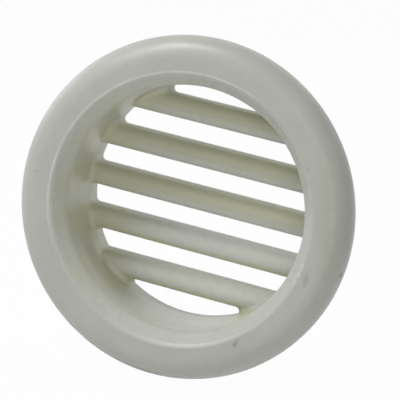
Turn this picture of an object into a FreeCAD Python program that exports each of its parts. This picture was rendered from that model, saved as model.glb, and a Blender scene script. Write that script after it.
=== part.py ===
import FreeCAD, Part
import math
import os

import Sketcher

# Round vent cover, moulded in one piece: a rounded rim, a spigot behind it and a grille across the
# spigot's far end. The front faces -Y, the bars lie along X, and Y = 0 is the plane where the back of
# the rim meets the panel.

NODE = "vent_cover"

# Driving dimensions in millimetres, apart from the number of bars.
SIZES = {
    # Tube that goes into the hole in the panel
    "spigot_diameter": 65.0,
    "spigot_depth": 20.4,
    "spigot_wall": 1.75,
    "spigot_lead_in": 0.8,
    # Rim: how far it overhangs the spigot, how high it stands, and the round at its outer edge
    "rim_overhang": 10.5,
    "rim_height": 6.9,
    "rim_edge_round": 5.6,
    "rim_wall": 2.0,
    # Step from the spigot to the thicker root that carries the rim
    "root_step": 1.2,
    # Mouth: a broken edge and a flare that runs down into the bore
    "mouth_flare": 3.5,
    "mouth_depth": 5.4,
    "mouth_edge_width": 0.9,
    "mouth_edge_depth": 0.6,
    "throat_round": 3.0,
    # Grille bars with a round nose towards the front, spread evenly between the slots at the top
    # and the bottom
    "bar_count": 5,
    "bar_height": 5.75,
    "bar_depth": 7.4,
    "bar_root_round": 1.2,
    "end_slot_height": 5.9,
}

# Radii from the axis, as formulas of the cells
SPIGOT = "Sizes.spigot_diameter / 2"
BORE = f"({SPIGOT} - Sizes.spigot_wall)"
ROOT = f"({SPIGOT} + Sizes.root_step)"
RIM = f"({SPIGOT} + Sizes.rim_overhang)"
MOUTH = f"({BORE} + Sizes.mouth_flare)"
BAR_ENDS = f"({BORE} + {SPIGOT} - Sizes.spigot_lead_in) / 2"

# Hollow back of the rim: how high its roof stands, and the bevel that follows the round of the edge
ROOF = "(Sizes.rim_height - Sizes.rim_wall)"
ROOF_BEVEL = "(Sizes.rim_edge_round - Sizes.rim_wall) * (2 - sqrt(2))"

# How far the lowest bar lies below the axis, and the step from one bar to the next
LOWEST_BAR = f"({BORE} - Sizes.end_slot_height - Sizes.bar_height / 2)"
BAR_PITCH = f"2 * {LOWEST_BAR} / (Sizes.bar_count - 1)"
BAR_STRAIGHT = "Sizes.bar_depth - Sizes.bar_height / 2"

ORIGIN = (-1, 1)
ACROSS = -1
START, END, CENTRE = range(1, 4)
FULL_TURN = 360
ANGLE_TOLERANCE = 1e-6


def fill_sheet(document):
    """Puts each driving dimension in a cell of its own, named by its alias."""
    sheet = document.addObject("Spreadsheet::Sheet", "Sizes")
    for row, (alias, value) in enumerate(SIZES.items(), start=1):
        sheet.set(f"A{row}", alias.replace("_", " "))
        sheet.set(f"B{row}", str(value))
        sheet.setAlias(f"B{row}", alias)
    document.recompute()


def new_sketch(body, name, plane_role):
    """Makes a sketch on one of the body's own origin planes."""
    sketch = body.newObject("Sketcher::SketchObject", name)
    plane = next(feature for feature in body.Origin.OriginFeatures if feature.Role == plane_role)
    sketch.AttachmentSupport = [(plane, "")]
    sketch.MapMode = "FlatFace"
    return sketch


def add_lines(sketch, *points):
    """Draws a line from each point to the next, joined at their ends."""
    lines = []
    for start, end in zip(points, points[1:]):
        first = FreeCAD.Vector(start[0], start[1], 0)
        last = FreeCAD.Vector(end[0], end[1], 0)
        lines.append(sketch.addGeometry(Part.LineSegment(first, last), False))
    for line, following in zip(lines, lines[1:]):
        relate(sketch, "Coincident", line, END, following, START)
    return lines


def add_arc(sketch, centre, radius, start_angle, end_angle):
    """Draws an arc that runs counter-clockwise between two angles in radians."""
    circle = Part.Circle(FreeCAD.Vector(centre[0], centre[1], 0), FreeCAD.Vector(0, 0, 1), radius)
    return sketch.addGeometry(Part.ArcOfCircle(circle, start_angle, end_angle), False)


def relate(sketch, kind, *places):
    sketch.addConstraint(Sketcher.Constraint(kind, *places))


def measure(sketch, kind, *places, formula):
    """Adds a dimension that follows a formula of the sheet's cells."""
    value = sketch.evalExpression(formula)
    index = sketch.addConstraint(Sketcher.Constraint(kind, *places, value))
    sketch.setExpression(f"Constraints[{index}]", formula)


def ring_section(body):
    """Half section of the rim, its hollow back, the mouth and the spigot, in radius and depth."""
    sketch = new_sketch(body, "ring_section", "XY_Plane")
    spigot, bore, root, rim, mouth = map(sketch.evalExpression, (SPIGOT, BORE, ROOT, RIM, MOUTH))
    roof_y = -sketch.evalExpression(ROOF)
    roof_bevel = sketch.evalExpression(ROOF_BEVEL)
    depth = SIZES["spigot_depth"]
    lead_in = SIZES["spigot_lead_in"]
    wall = SIZES["rim_wall"]
    height = SIZES["rim_height"]
    edge_round = SIZES["rim_edge_round"]
    throat_round = SIZES["throat_round"]

    # The flare is the tangent from the broken edge of the mouth to the round of the throat.
    edge_centre = (rim - edge_round, edge_round - height)
    throat_centre = (bore + throat_round, SIZES["mouth_depth"] - height)
    flare_start = (mouth - SIZES["mouth_edge_width"], SIZES["mouth_edge_depth"] - height)
    across = flare_start[0] - throat_centre[0]
    along = flare_start[1] - throat_centre[1]
    reach = math.hypot(across, along)
    touch = 2 * math.pi + math.atan2(along, across) - math.acos(throat_round / reach)
    flare_end = (
        throat_centre[0] + throat_round * math.cos(touch),
        throat_centre[1] + throat_round * math.sin(touch),
    )

    back, bevel, outside, shoulder, root_wall, roof, roof_slope, skirt, seat, edge = add_lines(
        sketch,
        (bore, depth),
        (spigot - lead_in, depth),
        (spigot, depth - lead_in),
        (spigot, 0),
        (root, 0),
        (root, roof_y),
        (rim - wall - roof_bevel, roof_y),
        (rim - wall, roof_y + roof_bevel),
        (rim - wall, 0),
        (rim, 0),
        (rim, edge_centre[1]),
    )
    nosing = add_arc(sketch, edge_centre, edge_round, -math.pi / 2, 0)
    face, mouth_edge, flare = add_lines(
        sketch,
        (edge_centre[0], -height),
        (mouth, -height),
        flare_start,
        flare_end,
    )
    throat = add_arc(sketch, throat_centre, throat_round, math.pi, touch)
    (inside,) = add_lines(sketch, (bore, throat_centre[1]), (bore, depth))

    relate(sketch, "Tangent", edge, END, nosing, END)
    relate(sketch, "Tangent", nosing, START, face, START)
    relate(sketch, "Tangent", flare, END, throat, END)
    relate(sketch, "Tangent", throat, START, inside, START)
    relate(sketch, "Coincident", inside, END, back, START)
    for level in (back, shoulder, roof, seat, face):
        relate(sketch, "Horizontal", level)
    for upright in (outside, root_wall, skirt, edge, inside):
        relate(sketch, "Vertical", upright)
    relate(sketch, "PointOnObject", shoulder, START, ACROSS)
    relate(sketch, "PointOnObject", seat, START, ACROSS)

    measure(sketch, "DistanceX", *ORIGIN, outside, START, formula=SPIGOT)
    measure(sketch, "DistanceX", *ORIGIN, inside, END, formula=BORE)
    measure(sketch, "DistanceY", *ORIGIN, back, START, formula="Sizes.spigot_depth")
    measure(sketch, "DistanceX", bevel, START, bevel, END, formula="Sizes.spigot_lead_in")
    measure(sketch, "DistanceY", bevel, END, bevel, START, formula="Sizes.spigot_lead_in")
    measure(sketch, "DistanceX", *ORIGIN, root_wall, START, formula=ROOT)
    measure(sketch, "DistanceY", roof, START, *ORIGIN, formula=ROOF)
    measure(sketch, "DistanceX", roof_slope, START, roof_slope, END, formula=ROOF_BEVEL)
    measure(sketch, "DistanceY", roof_slope, START, roof_slope, END, formula=ROOF_BEVEL)
    measure(sketch, "DistanceX", seat, START, seat, END, formula="Sizes.rim_wall")
    measure(sketch, "DistanceX", *ORIGIN, edge, START, formula=RIM)
    measure(sketch, "Radius", nosing, formula="Sizes.rim_edge_round")
    measure(sketch, "DistanceY", face, START, *ORIGIN, formula="Sizes.rim_height")
    measure(sketch, "DistanceX", *ORIGIN, face, END, formula=MOUTH)
    measure(sketch, "DistanceX", mouth_edge, END, mouth_edge, START, formula="Sizes.mouth_edge_width")
    measure(sketch, "DistanceY", mouth_edge, START, mouth_edge, END, formula="Sizes.mouth_edge_depth")
    measure(sketch, "Radius", throat, formula="Sizes.throat_round")
    measure(sketch, "DistanceY", face, END, throat, START, formula="Sizes.mouth_depth")
    return sketch


def bar_section(body):
    """Section of the lowest bar: a flat back flush with the spigot, level flanks and a round nose."""
    sketch = new_sketch(body, "bar_section", "YZ_Plane")
    back = SIZES["spigot_depth"]
    half = SIZES["bar_height"] / 2
    middle = -sketch.evalExpression(LOWEST_BAR)
    nose = back - sketch.evalExpression(BAR_STRAIGHT)
    lower, rear, upper = add_lines(
        sketch,
        (nose, middle - half),
        (back, middle - half),
        (back, middle + half),
        (nose, middle + half),
    )
    tip = add_arc(sketch, (nose, middle), half, math.pi / 2, 3 * math.pi / 2)

    relate(sketch, "Tangent", upper, END, tip, START)
    relate(sketch, "Tangent", tip, END, lower, START)
    relate(sketch, "Vertical", rear)
    for flank in (lower, upper):
        relate(sketch, "Horizontal", flank)
    measure(sketch, "DistanceX", *ORIGIN, rear, START, formula="Sizes.spigot_depth")
    measure(sketch, "DistanceX", tip, CENTRE, rear, START, formula=BAR_STRAIGHT)
    measure(sketch, "DistanceY", rear, START, rear, END, formula="Sizes.bar_height")
    measure(sketch, "DistanceY", tip, CENTRE, *ORIGIN, formula=LOWEST_BAR)
    return sketch


def trim_section(body):
    """Rectangle beyond the bars' ends: turned about the axis, it trims them to a circle."""
    sketch = new_sketch(body, "trim_section", "XY_Plane")
    inner = sketch.evalExpression(BAR_ENDS)
    outer = SIZES["spigot_diameter"]
    far = 2 * SIZES["spigot_depth"]
    near_side, outer_side, far_side, inner_side = add_lines(
        sketch,
        (inner, 0),
        (outer, 0),
        (outer, far),
        (inner, far),
        (inner, 0),
    )
    relate(sketch, "Coincident", inner_side, END, near_side, START)
    for level in (near_side, far_side):
        relate(sketch, "Horizontal", level)
    for upright in (outer_side, inner_side):
        relate(sketch, "Vertical", upright)
    relate(sketch, "PointOnObject", near_side, START, ACROSS)
    measure(sketch, "DistanceX", *ORIGIN, near_side, START, formula=BAR_ENDS)
    measure(sketch, "DistanceX", *ORIGIN, near_side, END, formula="Sizes.spigot_diameter")
    measure(sketch, "DistanceY", *ORIGIN, far_side, END, formula="2 * Sizes.spigot_depth")
    return sketch


def add_bars(document, body):
    """Pads one bar across the spigot, repeats it up the grille and trims the ends to the wall."""
    bar = body.newObject("PartDesign::Pad", "bar")
    bar.Profile = bar_section(body)
    bar.SideType = "Symmetric"
    bar.setExpression("Length", "Sizes.spigot_diameter")
    document.recompute()

    bars = body.newObject("PartDesign::LinearPattern", "bars")
    bars.Originals = [bar]
    bars.Direction = (bar.Profile[0], ["V_Axis"])
    bars.Mode = "Spacing"
    bars.setExpression("Offset", BAR_PITCH)
    bars.setExpression("Occurrences", "Sizes.bar_count")
    body.Tip = bars
    document.recompute()

    trim = body.newObject("PartDesign::Groove", "bar_ends")
    trim.Profile = trim_section(body)
    trim.ReferenceAxis = (trim.Profile[0], ["V_Axis"])
    trim.Angle = FULL_TURN
    document.recompute()
    if not trim.Shape.Volume < bars.Shape.Volume:
        raise RuntimeError("the bars' ends were not trimmed")


def add_ring(document, body):
    """Turns the ring's section about the axis, which joins the bars to the spigot."""
    ring = body.newObject("PartDesign::Revolution", "ring")
    ring.Profile = ring_section(body)
    ring.ReferenceAxis = (ring.Profile[0], ["V_Axis"])
    ring.Angle = FULL_TURN
    document.recompute()
    return ring


def runs_along(direction, axis):
    return abs(abs(direction.dot(axis)) - 1) < ANGLE_TOLERANCE


def is_bore(face):
    surface = face.Surface
    return isinstance(surface, Part.Cylinder) and runs_along(surface.Axis, FreeCAD.Vector(0, 1, 0))


def is_bar_side(face):
    """True for a bar's flanks and its nose."""
    surface = face.Surface
    if isinstance(surface, Part.Cylinder):
        return runs_along(surface.Axis, FreeCAD.Vector(1, 0, 0))
    return isinstance(surface, Part.Plane) and runs_along(surface.Axis, FreeCAD.Vector(0, 0, 1))


def round_roots(document, body, ring):
    """Rounds the edges where the bars run into the bore, so that each slot has rounded corners."""
    names = []
    for number, edge in enumerate(ring.Shape.Edges, start=1):
        faces = ring.Shape.ancestorsOfType(edge, Part.Face)
        if any(map(is_bore, faces)) and any(map(is_bar_side, faces)):
            names.append(f"Edge{number}")
    if not names:
        raise RuntimeError("the bars meet the bore in no edge")
    roots = body.newObject("PartDesign::Fillet", "bar_roots")
    roots.Base = (ring, names)
    roots.setExpression("Radius", "Sizes.bar_root_round")
    document.recompute()


def check(document, body):
    """Stops the build if a feature failed or the finished piece isn't one sound solid."""
    for item in document.Objects:
        if "Invalid" in item.State or "Error" in item.State:
            raise RuntimeError(f"{item.Label} failed: {item.State}")
        if item.TypeId == "Sketcher::SketchObject" and not item.FullyConstrained:
            raise RuntimeError(f"{item.Label} isn't fully constrained")
    shape = body.Shape
    if shape.isNull() or not shape.isValid():
        raise RuntimeError(f"{body.Label} has no valid shape")
    if len(shape.Solids) != 1:
        raise RuntimeError(f"{body.Label} has {len(shape.Solids)} solids")


def main():
    document = FreeCAD.newDocument("round_vent_cover")
    fill_sheet(document)
    body = document.addObject("PartDesign::Body", NODE)
    body.Label = NODE
    body.Placement = FreeCAD.Placement()

    add_bars(document, body)
    round_roots(document, body, add_ring(document, body))

    check(document, body)
    os.makedirs("parts", exist_ok=True)
    body.Shape.exportStep(f"parts/{body.Label}.step")
    box = body.Shape.optimalBoundingBox()
    print(body.Label, "volume", round(body.Shape.Volume, 1), "size", box.XLength, box.YLength, box.ZLength)


main()
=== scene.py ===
import math
from types import SimpleNamespace

import bmesh
import bpy
from mathutils import Matrix, Vector


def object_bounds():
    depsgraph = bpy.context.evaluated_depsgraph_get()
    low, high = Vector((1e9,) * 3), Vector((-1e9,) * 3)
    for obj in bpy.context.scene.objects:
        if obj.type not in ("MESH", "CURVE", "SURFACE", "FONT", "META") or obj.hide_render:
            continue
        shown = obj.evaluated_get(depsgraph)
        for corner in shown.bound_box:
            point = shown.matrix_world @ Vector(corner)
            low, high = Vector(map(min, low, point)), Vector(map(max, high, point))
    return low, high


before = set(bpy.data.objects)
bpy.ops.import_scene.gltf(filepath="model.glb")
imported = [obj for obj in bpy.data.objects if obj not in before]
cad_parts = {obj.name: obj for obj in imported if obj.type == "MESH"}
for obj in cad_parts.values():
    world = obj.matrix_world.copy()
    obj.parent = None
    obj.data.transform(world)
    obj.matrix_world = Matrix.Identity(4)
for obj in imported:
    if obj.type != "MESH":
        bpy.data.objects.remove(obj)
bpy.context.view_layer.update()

MM = 0.001
WHITE = (1, 1, 1, 1)

# Where the camera stands, worked out from the oval of the rim and the run of the bars in the photo
CAMERA_AZIMUTH = math.radians(14.775)
CAMERA_ELEVATION = math.radians(10.538)
CAMERA_ROLL = math.radians(11.925)
CAMERA_DISTANCE = 503.6 * MM
CAMERA_NEAR = CAMERA_DISTANCE / 10
CAMERA_RIGHT = 3.507 * MM
CAMERA_UP = 1.983 * MM
CAMERA_LENS = 182.25
CAMERA_AIM = Vector((0, -0.4 * MM, 0))

# Soft round lamps. Angles are in degrees, the azimuth from the front towards the right, and a level
# of 1 shows a surface that faces the lamp in its own colour. The lamp at the back isn't mirrored in
# the plastic, because its grazing reflection would eat into the outline of the rim.
LAMP_DISTANCE = 0.7
COOL = (0.99, 0.995, 1.01)
WARM = (1.0, 0.99, 0.95)
SMALL = 0.3
LARGE = 0.35
LAMPS = (
    dict(name="key", azimuth=-50, elevation=56, level=0.44, size=SMALL, colour=COOL),
    dict(name="left", azimuth=-50, elevation=35, level=0.17, size=LARGE, colour=COOL),
    dict(name="fill", azimuth=25, elevation=5, level=0.18, size=LARGE, colour=WARM),
    dict(name="side", azimuth=-110, elevation=15, level=0.13, size=LARGE, colour=COOL),
    dict(
        name="back", azimuth=165, elevation=30, level=0.22, size=LARGE, colour=COOL,
        mirrored=False,
    ),
)

# White room, and the floor under the rim
ROOM_LEVEL = 0.21
FLOOR_REACH = 6.0
FLOOR_COLOUR = (0.85, 0.85, 0.85, 1)
FLOOR_WHITE = 0.97

# Off-white plastic: greyer on the rim; paler and creamier in the recess and on the bars, which is
# painted bounce light; paler along the edge of the mouth, which is a painted highlight
RIM_COLOUR = (0.505, 0.513, 0.474, 1)
RIM_SHADOW_COLOUR = (0.48, 0.486, 0.445, 1)
RECESS_BOUNCE_LIT_COLOUR = (0.59, 0.597, 0.545, 1)
BAR_BOUNCE_LIT_COLOUR = (0.635, 0.642, 0.59, 1)
# Painted shade on the bars, and on the wall beside them
BAR_SHADE_COLOUR = (0.545, 0.55, 0.455, 1)
OLIVE_SHADE_COLOUR = (0.572, 0.577, 0.43, 1)
# Painted highlight along the edge of the mouth
EDGE_HIGHLIGHT_COLOUR = (0.78, 0.785, 0.75, 1)
GREY_COLOUR = (0.43, 0.437, 0.40, 1)
# Painted shade at the right of the rim
RIGHT_SHADE_COLOUR = (0.44, 0.445, 0.38, 1)
# Painted shade on the wall at the lower left of the recess
CORNER_SHADE_COLOUR = (0.40, 0.405, 0.29, 1)
# Dark specks, and painted shade along the lower left of the rim's side
SPECK_AND_SIDE_SHADE_COLOUR = (0.10, 0.10, 0.085, 1)
SMEAR_COLOUR = (0.33, 0.33, 0.23, 1)
FLECK_COLOUR = (0.80, 0.80, 0.77, 1)

# Noise patterns: the size of their spots and the levels of finer detail in them
CLOUDS = (16 * MM, 4)
PATCHES = (4 * MM, 3)
BLOTCHES = (2.2 * MM, 2)
RINGS = (0.6 * MM, 2)
RAGGED_EDGES = (1.0 * MM, 2)
MOULDING_GRAIN = (0.35 * MM, 2)

# A span holds the two values between which a mask goes from nothing to full, and levels replace the
# nothing and the full where they are others. Depth runs back from the plane of the panel, height up
# and sideways to the right of the axis, and radius out from it.
NOTHING_TO_FULL = (0.0, 1.0)
OUT_FROM_AXIS = (1, 0, 1)

# Recess: the flare's slope brings the flare to the radius of the bore
FLARE_SLOPE = 0.5
RECESS_FRONT = (-7.0 * MM, -6.0 * MM)
RECESS_SKIN = (31.3 * MM, 31.0 * MM)
RECESS_BACK = (20.3 * MM, 18.8 * MM)
# Depths over which the recess grows paler towards the bars, as painted bounce light
FLARE_TO_BARS = (1 * MM, 10 * MM)

# Mottling, blotches and fine rings about the axis
CLOUD_SPAN = (0.35, 0.65)
BLOTCH_SPAN = (0.45, 0.7)
BLOTCH_STRENGTH = 0.16
RING_DRIFT = 0.03
RING_SPAN = (0.4, 0.65)
RING_STRENGTH = 0.14
PAST_BARS = (30.1 * MM, 30.5 * MM)

# Painted shade on the bars: heights over a bar's middle, and spans of a wave that peaks there
BAR_PITCH = 10.99 * MM
UPPER_BARS = (-9 * MM, -4 * MM)
INTO_RECESS = (-5.0 * MM, 9.0 * MM)
BAR_SHADE_HEIGHT = 0.6 * MM
BAR_SHADE_BAND = (0.3, 0.95)
OVER_BAR = 1.7 * MM
OVER_BAND = (0.45, 0.98)
UNDER_BAR = -3.2 * MM
UNDER_BAND = (0.3, 0.95)
BAR_MIDDLE = 0.0
BAR_END_BAND = (-0.9, 0.4)
BAR_END_LEVELS = (0.4, 0.85)
LEFT_SIDE = (-9 * MM, -27 * MM)
LEFT_DEPTH = (-8 * MM, 1 * MM)

# Painted shade, and a duller finish, on the wall at the lower left, in front of the lowest bar
CORNER_FRONT = (0.0, 6 * MM)
CORNER_BACK = (13 * MM, 9.5 * MM)
CORNER_LOW = (-12 * MM, -18 * MM)
CORNER_LEFT = (-8 * MM, -17 * MM)
CORNER_STRENGTH = 0.25
CORNER_ROUGHNESS = 0.6

# Painted highlight along the edge of the mouth
MOUTH_RADIUS = 34.2 * MM
MOUTH_EDGE = (0.45 * MM, 0.15 * MM)
MOUTH_FRONT = (-6.3 * MM, -6.7 * MM)
EDGE_HIGHLIGHT_SPAN = (0.3, 0.7)
EDGE_HIGHLIGHT_LEVELS = (0.6, 1.0)
UPPER_LEFT = (-0.67, 0, 0.74)
UPPER_LEFT_SPAN = (2 * MM, 27 * MM)
UPPER_LEFT_LEVELS = (0.0, 0.75)

# Painted shade at the right of the rim
RIGHT = (0.98, 0, 0.2)
RIGHT_SPAN = (33 * MM, 38 * MM)
RIGHT_SHADE_RADIUS = (42 * MM, 39.5 * MM)
RIGHT_SHADE_DEPTH = (-4 * MM, -5 * MM)
RIGHT_SHADE_SPAN = (0.2, 0.6)
RIGHT_SHADE_LEVELS = (0.5, 0.95)

# Painted shade along the lower left of the rim's side
LOWER_LEFT = (-0.34, 0, -0.94)
LOWER_LEFT_SPAN = (37 * MM, 41 * MM)
SIDE_DEPTH = (-5.3 * MM, -4.6 * MM)
SIDE_SHADE_SPAN = (0.3, 0.6)
SIDE_SHADE_STRENGTH = 0.36

# Marks on the rim and on the lip: colour, centre and reach in millimetres, strength. A mark fades
# from its reach inwards, and its outline is shaken a little.
MARK_FADE = (1.0, 0.35)
MARK_SHAKE = 0.6 * MM
NOISE_MIDDLE = 0.5
MARKS = (
    (SPECK_AND_SIDE_SHADE_COLOUR, (21.03, -6.9, -28.79), (0.75, 0.8, 0.85), 0.36),
    (SPECK_AND_SIDE_SHADE_COLOUR, (21.4, -6.9, -27.8), (0.55, 0.8, 1.0), 0.22),
    (SPECK_AND_SIDE_SHADE_COLOUR, (42.33, -3.0, -5.74), (0.9, 0.9, 1.1), 0.50),
    (SPECK_AND_SIDE_SHADE_COLOUR, (-37.96, -6.86, 0.76), (0.6, 0.6, 0.6), 0.22),
    (SPECK_AND_SIDE_SHADE_COLOUR, (29.81, -6.9, 17.85), (0.7, 0.7, 0.7), 0.10),
    (SPECK_AND_SIDE_SHADE_COLOUR, (31.06, -6.9, 15.2), (0.6, 0.6, 0.9), 0.10),
    (SMEAR_COLOUR, (34.9, -6.9, -8.6), (1.1, 0.9, 2.3), 0.46),
    (FLECK_COLOUR, (33.1, -6.3, -5.4), (1.0, 0.9, 1.3), 0.30),
    (FLECK_COLOUR, (32.8, -6.2, -7.6), (0.8, 0.9, 1.1), 0.38),
    (FLECK_COLOUR, (32.1, -6.2, -9.7), (0.9, 0.9, 1.2), 0.30),
)

# Satin plastic, duller on the dusty bars
SATIN_SPAN = (0.3, 0.7)
SATIN_LEVELS = (0.32, 0.38)
RING_DULLNESS = 0.08
WITHIN_BORE = (30.7 * MM, 30.2 * MM)
DUST_DEPTH = (3 * MM, 13 * MM)
DUST_LEVELS = (0.35, 0.6)

# Soft edges, slight waviness and a fine moulding grain
SOFT_EDGE = 0.7 * MM
SOFT_EDGE_SAMPLES = 8
WAVE_STRENGTH = 0.5
WAVE_HEIGHT = 0.2 * MM
GRAIN_STRENGTH = 0.35
GRAIN_HEIGHT = 0.02 * MM

# Where a Mix node takes two colours, and where it puts out the result
MIX_FIRST = 6
MIX_SECOND = 7
MIX_RESULT = 2


def direction_from(azimuth, elevation):
    """Unit vector towards a place round the cover; angles in radians, azimuth from the front."""
    return Vector((
        math.sin(azimuth) * math.cos(elevation),
        -math.cos(azimuth) * math.cos(elevation),
        math.sin(elevation),
    ))


def camera_axes():
    """The image's right, its up and the way back to the camera, in the frame of the cover."""
    back = direction_from(CAMERA_AZIMUTH, CAMERA_ELEVATION)
    level = Vector((0, 0, 1)).cross(back).normalized()
    upright = back.cross(level)
    right = level * math.cos(CAMERA_ROLL) + upright * math.sin(CAMERA_ROLL)
    up = upright * math.cos(CAMERA_ROLL) - level * math.sin(CAMERA_ROLL)
    return right, up, back


def add_camera():
    right, up, back = camera_axes()
    camera = bpy.data.objects.new("camera", bpy.data.cameras.new("camera"))
    bpy.context.scene.collection.objects.link(camera)
    camera.data.lens = CAMERA_LENS
    camera.data.clip_start = CAMERA_NEAR
    place = CAMERA_AIM + back * CAMERA_DISTANCE + right * CAMERA_RIGHT + up * CAMERA_UP
    turn = Matrix((right, up, back)).transposed().to_4x4()
    camera.matrix_world = Matrix.Translation(place) @ turn
    bpy.context.scene.camera = camera


def add_lamp(name, azimuth, elevation, level, size, colour, mirrored=True):
    """Soft round lamp aimed at the cover."""
    direction = direction_from(math.radians(azimuth), math.radians(elevation))
    lamp = bpy.data.objects.new(name, bpy.data.lights.new(name, "AREA"))
    bpy.context.scene.collection.objects.link(lamp)
    lamp.data.shape = "DISK"
    lamp.data.size = size
    lamp.data.energy = level * (math.pi * LAMP_DISTANCE) ** 2
    lamp.data.color = colour
    lamp.visible_glossy = mirrored
    lamp.location = direction * LAMP_DISTANCE
    lamp.rotation_euler = direction.to_track_quat("Z", "Y").to_euler()


def feed(tree, socket, value):
    """Sets a socket to a plain value, or links another socket to it."""
    if isinstance(value, bpy.types.NodeSocket):
        tree.links.new(value, socket)
    else:
        socket.default_value = value


def scalar(tree, operation, *values):
    """Works out a value from other values."""
    node = tree.nodes.new("ShaderNodeMath")
    node.operation = operation
    for socket, value in zip(node.inputs, values):
        feed(tree, socket, value)
    return node.outputs["Value"]


def arrow(tree, operation, *values):
    """Works out a place, a direction or a length from places and directions."""
    node = tree.nodes.new("ShaderNodeVectorMath")
    node.operation = operation
    for socket, value in zip(node.inputs, values):
        feed(tree, socket, value)
    return node.outputs["Value" if operation in ("LENGTH", "DOT_PRODUCT") else "Vector"]


def seen_directly(tree):
    """1 for what the camera sees straight, in a reflection or through glass."""
    path = tree.nodes.new("ShaderNodeLightPath").outputs
    either = scalar(tree, "MAXIMUM", path["Is Camera Ray"], path["Is Glossy Ray"])
    return scalar(tree, "MAXIMUM", either, path["Is Transmission Ray"])


def mix_shaders(tree, share, first, second):
    node = tree.nodes.new("ShaderNodeMixShader")
    for socket, value in zip(node.inputs, (share, first, second)):
        tree.links.new(value, socket)
    return node.outputs["Shader"]


def add_room():
    """White room: it adds a little even light, and shows as plain white."""
    world = bpy.data.worlds.new("white_room")
    bpy.context.scene.world = world
    world.use_nodes = True
    tree = world.node_tree
    light = tree.nodes["Background"]
    light.inputs["Color"].default_value = (*WARM, 1)
    light.inputs["Strength"].default_value = ROOM_LEVEL
    white = tree.nodes.new("ShaderNodeBackground")
    white.inputs["Color"].default_value = WHITE
    room = mix_shaders(
        tree,
        seen_directly(tree),
        light.outputs["Background"],
        white.outputs["Background"],
    )
    tree.links.new(room, tree.nodes["World Output"].inputs["Surface"])


def floor_material():
    """Pale floor that shows as white, with a faint shadow."""
    material = bpy.data.materials.new("pale_floor")
    material.use_nodes = True
    tree = material.node_tree
    tree.nodes.remove(tree.nodes["Principled BSDF"])
    matte = tree.nodes.new("ShaderNodeBsdfDiffuse")
    matte.inputs["Color"].default_value = FLOOR_COLOUR
    glow = tree.nodes.new("ShaderNodeEmission")
    surface = mix_shaders(
        tree,
        scalar(tree, "MULTIPLY", seen_directly(tree), FLOOR_WHITE),
        matte.outputs["BSDF"],
        glow.outputs["Emission"],
    )
    tree.links.new(surface, tree.nodes["Material Output"].inputs["Surface"])
    return material


def add_floor():
    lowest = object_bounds()[0].z
    shape = bmesh.new()
    bmesh.ops.create_grid(shape, x_segments=1, y_segments=1, size=FLOOR_REACH / 2)
    bmesh.ops.translate(shape, verts=shape.verts, vec=(0, 0, lowest))
    mesh = bpy.data.meshes.new("floor")
    shape.to_mesh(mesh)
    shape.free()
    floor = bpy.data.objects.new("floor", mesh)
    bpy.context.scene.collection.objects.link(floor)
    mesh.materials.append(floor_material())


def fade(tree, value, span, levels=NOTHING_TO_FULL):
    """Goes smoothly from the first level to the second while the value runs over the span."""
    node = tree.nodes.new("ShaderNodeMapRange")
    node.interpolation_type = "SMOOTHSTEP"
    tree.links.new(value, node.inputs["Value"])
    node.inputs["From Min"].default_value, node.inputs["From Max"].default_value = span
    node.inputs["To Min"].default_value, node.inputs["To Max"].default_value = levels
    return node.outputs["Result"]


def overlap(tree, *masks):
    """Mask of where all the given masks lie, as their product."""
    result = masks[0]
    for mask in masks[1:]:
        result = scalar(tree, "MULTIPLY", result, mask)
    return result


def blend(tree, share, first, second):
    """Colour that goes from the first to the second as the share grows."""
    node = tree.nodes.new("ShaderNodeMix")
    node.data_type = "RGBA"
    tree.links.new(share, node.inputs["Factor"])
    feed(tree, node.inputs[MIX_FIRST], first)
    feed(tree, node.inputs[MIX_SECOND], second)
    return node.outputs[MIX_RESULT]


def lay_colour(tree, under, colour, mask, strength):
    """Lays a colour over what is under it; the strength may be a mask too."""
    return blend(tree, scalar(tree, "MULTIPLY", mask, strength), under, colour)


def noise(tree, place, pattern, output="Fac"):
    """Cloudy noise of the given pattern, as a value or a colour."""
    size, detail = pattern
    node = tree.nodes.new("ShaderNodeTexNoise")
    tree.links.new(place, node.inputs["Vector"])
    node.inputs["Scale"].default_value = 1 / size
    node.inputs["Detail"].default_value = detail
    return node.outputs[output]


def bump(tree, normal, height, strength, distance):
    """Normal of a surface that is raised a little by a pattern."""
    node = tree.nodes.new("ShaderNodeBump")
    node.inputs["Strength"].default_value = strength
    node.inputs["Distance"].default_value = distance
    tree.links.new(height, node.inputs["Height"])
    tree.links.new(normal, node.inputs["Normal"])
    return node.outputs["Normal"]


def places_on_cover(tree):
    """The place on the cover, and how far sideways, back, up and out from the axis it lies."""
    place = tree.nodes.new("ShaderNodeTexCoord").outputs["Object"]
    parts = tree.nodes.new("ShaderNodeSeparateXYZ")
    tree.links.new(place, parts.inputs["Vector"])
    return SimpleNamespace(
        place=place,
        sideways=parts.outputs["X"],
        depth=parts.outputs["Y"],
        height=parts.outputs["Z"],
        radius=arrow(tree, "LENGTH", arrow(tree, "MULTIPLY", place, OUT_FROM_AXIS)),
    )


def towards(tree, at, direction, span, levels=NOTHING_TO_FULL):
    """Mask that grows towards one side of the cover."""
    return fade(tree, arrow(tree, "DOT_PRODUCT", at.place, direction), span, levels)


def along_bars(tree, at, offset, span, levels=NOTHING_TO_FULL):
    """Bands that lie the given offset above every bar's middle."""
    turn = math.tau / BAR_PITCH
    angle = scalar(tree, "MULTIPLY_ADD", at.height, turn, -offset * turn)
    return fade(tree, scalar(tree, "COSINE", angle), span, levels)


def recess_mask(tree, at):
    """Flare, bore and bars, without the rim, the spigot's outside and the back."""
    forward = scalar(tree, "MINIMUM", at.depth, 0.0)
    straightened = scalar(tree, "MULTIPLY_ADD", forward, FLARE_SLOPE, at.radius)
    return overlap(
        tree,
        fade(tree, at.depth, RECESS_FRONT),
        fade(tree, straightened, RECESS_SKIN),
        fade(tree, at.depth, RECESS_BACK),
    )


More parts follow.
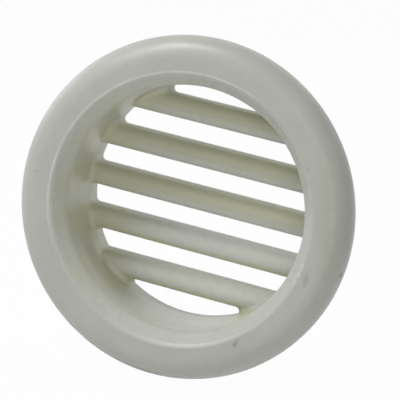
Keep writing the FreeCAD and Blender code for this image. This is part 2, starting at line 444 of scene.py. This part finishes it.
def ring_mask(tree, at):
    """Fine rings about the axis, everywhere but on the bars."""
    drawn_out = tree.nodes.new("ShaderNodeCombineXYZ")
    tree.links.new(at.radius, drawn_out.inputs["X"])
    tree.links.new(at.depth, drawn_out.inputs["Y"])
    drift = scalar(tree, "MULTIPLY", at.sideways, RING_DRIFT)
    tree.links.new(drift, drawn_out.inputs["Z"])
    rings = noise(tree, drawn_out.outputs["Vector"], RINGS)
    return overlap(tree, fade(tree, at.radius, PAST_BARS), fade(tree, rings, RING_SPAN))


def corner_mask(tree, at, recess):
    """The wall at the lower left, in front of the lowest bar."""
    return overlap(
        tree,
        fade(tree, at.depth, CORNER_FRONT),
        fade(tree, at.depth, CORNER_BACK),
        fade(tree, at.height, CORNER_LOW),
        fade(tree, at.sideways, CORNER_LEFT),
        recess,
    )


def plain_colour(tree, at, recess, rings):
    """Mottled rim, and a recess painted paler with bounce light, with blotches and fine rings."""
    clouds = fade(tree, noise(tree, at.place, CLOUDS), CLOUD_SPAN)
    outer = blend(tree, clouds, RIM_COLOUR, RIM_SHADOW_COLOUR)
    # Painted bounce light: the recess paler than the rim, and paler still towards the bars
    bounce_lit_recess = blend(tree, fade(tree, at.depth, FLARE_TO_BARS), RECESS_BOUNCE_LIT_COLOUR, BAR_BOUNCE_LIT_COLOUR)
    colour = blend(tree, recess, outer, bounce_lit_recess)
    blotches = fade(tree, noise(tree, at.place, BLOTCHES), BLOTCH_SPAN)
    colour = lay_colour(tree, colour, GREY_COLOUR, blotches, BLOTCH_STRENGTH)
    return lay_colour(tree, colour, GREY_COLOUR, rings, RING_STRENGTH)


def paint_bar_shade(tree, at, recess, colour):
    upper = fade(tree, at.height, UPPER_BARS)
    lower = scalar(tree, "SUBTRACT", 1.0, upper)
    deep = fade(tree, at.depth, INTO_RECESS)

    # Darker painted shade on the upper bars' noses
    bar_shade = overlap(tree, along_bars(tree, at, BAR_SHADE_HEIGHT, BAR_SHADE_BAND), upper, deep)
    colour = lay_colour(tree, colour, BAR_SHADE_COLOUR, bar_shade, recess)

    # Olive painted shade over the upper bars, under the lower ones, and at the left, on the wall
    # and the bars' ends
    over = overlap(tree, along_bars(tree, at, OVER_BAR, OVER_BAND), upper)
    under = overlap(tree, along_bars(tree, at, UNDER_BAR, UNDER_BAND), lower)
    on_bars = overlap(tree, scalar(tree, "ADD", over, under), deep)
    beside = overlap(
        tree,
        along_bars(tree, at, BAR_MIDDLE, BAR_END_BAND, BAR_END_LEVELS),
        fade(tree, at.sideways, LEFT_SIDE),
        fade(tree, at.depth, LEFT_DEPTH),
    )
    olive_shade = scalar(tree, "MAXIMUM", on_bars, beside)
    return lay_colour(tree, colour, OLIVE_SHADE_COLOUR, olive_shade, recess)


# Painted highlight and painted shade on the rim
def paint_rim_light_and_shade(tree, at, patches, colour):
    # Painted highlight along the edge of the mouth, mostly at the upper left
    off_edge = scalar(tree, "ABSOLUTE", scalar(tree, "SUBTRACT", at.radius, MOUTH_RADIUS))
    edge_highlight = overlap(
        tree,
        fade(tree, off_edge, MOUTH_EDGE),
        fade(tree, at.depth, MOUTH_FRONT),
        fade(tree, patches, EDGE_HIGHLIGHT_SPAN, EDGE_HIGHLIGHT_LEVELS),
    )
    upper_left = towards(tree, at, UPPER_LEFT, UPPER_LEFT_SPAN, UPPER_LEFT_LEVELS)
    colour = lay_colour(tree, colour, EDGE_HIGHLIGHT_COLOUR, edge_highlight, upper_left)

    # Yellowish painted shade at the right
    right_shade = overlap(
        tree,
        towards(tree, at, RIGHT, RIGHT_SPAN),
        fade(tree, at.radius, RIGHT_SHADE_RADIUS),
        fade(tree, at.depth, RIGHT_SHADE_DEPTH),
    )
    patchy = fade(tree, patches, RIGHT_SHADE_SPAN, RIGHT_SHADE_LEVELS)
    colour = lay_colour(tree, colour, RIGHT_SHADE_COLOUR, right_shade, patchy)

    # Painted shade along the lower left of the side
    lower_left_shade = overlap(
        tree,
        towards(tree, at, LOWER_LEFT, LOWER_LEFT_SPAN),
        fade(tree, at.depth, SIDE_DEPTH),
        fade(tree, patches, SIDE_SHADE_SPAN),
    )
    return lay_colour(tree, colour, SPECK_AND_SIDE_SHADE_COLOUR, lower_left_shade, SIDE_SHADE_STRENGTH)


def spot_group():
    """Soft round or long spot about a centre, as a mask."""
    group = bpy.data.node_groups.new("spot", "ShaderNodeTree")
    for name in ("Place", "Centre", "Reach"):
        group.interface.new_socket(name, in_out="INPUT", socket_type="NodeSocketVector")
    group.interface.new_socket("Mask", in_out="OUTPUT", socket_type="NodeSocketFloat")
    given = group.nodes.new("NodeGroupInput")
    result = group.nodes.new("NodeGroupOutput")
    offset = arrow(group, "SUBTRACT", given.outputs["Place"], given.outputs["Centre"])
    distance = arrow(group, "LENGTH", arrow(group, "DIVIDE", offset, given.outputs["Reach"]))
    group.links.new(fade(group, distance, MARK_FADE), result.inputs["Mask"])
    return group


def add_marks(tree, at, colour):
    """Specks, smear and flecks on the rim and the lip, with ragged outlines."""
    wobble = noise(tree, at.place, RAGGED_EDGES, output="Color")
    wobble = arrow(tree, "SUBTRACT", wobble, (NOISE_MIDDLE,) * 3)
    shake = arrow(tree, "MULTIPLY", wobble, (MARK_SHAKE,) * 3)
    shaken_place = arrow(tree, "ADD", at.place, shake)
    spots = spot_group()
    for mark_colour, centre, reach, strength in MARKS:
        spot = tree.nodes.new("ShaderNodeGroup")
        spot.node_tree = spots
        tree.links.new(shaken_place, spot.inputs["Place"])
        spot.inputs["Centre"].default_value = [value * MM for value in centre]
        spot.inputs["Reach"].default_value = [value * MM for value in reach]
        colour = lay_colour(tree, colour, mark_colour, spot.outputs["Mask"], strength)
    return colour


def plastic_roughness(tree, at, recess, rings, corner, patches):
    """Satin, duller where the bars are dusty and in the corner at the lower left."""
    smooth = fade(tree, patches, SATIN_SPAN, SATIN_LEVELS)
    satin = scalar(tree, "MULTIPLY_ADD", rings, RING_DULLNESS, smooth)
    dust = overlap(
        tree,
        recess,
        fade(tree, at.radius, WITHIN_BORE),
        fade(tree, at.depth, DUST_DEPTH, DUST_LEVELS),
    )
    # Duller in the corner at the lower left, where shade is painted
    lower_left_shade = scalar(tree, "MULTIPLY", corner, CORNER_ROUGHNESS)
    return scalar(tree, "MAXIMUM", satin, scalar(tree, "MAXIMUM", dust, lower_left_shade))


def plastic_normal(tree, at, patches):
    """Soft edges, and slight waviness under a fine moulding grain."""
    soft = tree.nodes.new("ShaderNodeBevel")
    soft.samples = SOFT_EDGE_SAMPLES
    soft.inputs["Radius"].default_value = SOFT_EDGE
    waves = bump(tree, soft.outputs["Normal"], patches, WAVE_STRENGTH, WAVE_HEIGHT)
    grain = noise(tree, at.place, MOULDING_GRAIN)
    return bump(tree, waves, grain, GRAIN_STRENGTH, GRAIN_HEIGHT)


def plastic_material():
    material = bpy.data.materials.new("off_white_plastic")
    material.use_nodes = True
    tree = material.node_tree
    plastic = tree.nodes["Principled BSDF"]
    at = places_on_cover(tree)
    patches = noise(tree, at.place, PATCHES)
    recess = recess_mask(tree, at)
    rings = ring_mask(tree, at)
    corner = corner_mask(tree, at, recess)

    colour = plain_colour(tree, at, recess, rings)
    colour = paint_bar_shade(tree, at, recess, colour)
    # Painted shade on the wall at the lower left, in front of the lowest bar
    colour = lay_colour(tree, colour, CORNER_SHADE_COLOUR, corner, CORNER_STRENGTH)
    colour = paint_rim_light_and_shade(tree, at, patches, colour)
    colour = add_marks(tree, at, colour)
    roughness = plastic_roughness(tree, at, recess, rings, corner, patches)
    normal = plastic_normal(tree, at, patches)
    tree.links.new(colour, plastic.inputs["Base Color"])
    tree.links.new(roughness, plastic.inputs["Roughness"])
    tree.links.new(normal, plastic.inputs["Normal"])
    return material


def dress(node, material):
    """Gives a node of the frame its finish through its object's slots."""
    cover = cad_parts[node]
    for slot in cover.material_slots:
        slot.link = "OBJECT"
        slot.material = material


bpy.context.scene.view_settings.view_transform = "Standard"
dress("vent_cover", plastic_material())
add_camera()
for lamp in LAMPS:
    add_lamp(**lamp)
add_room()
add_floor()
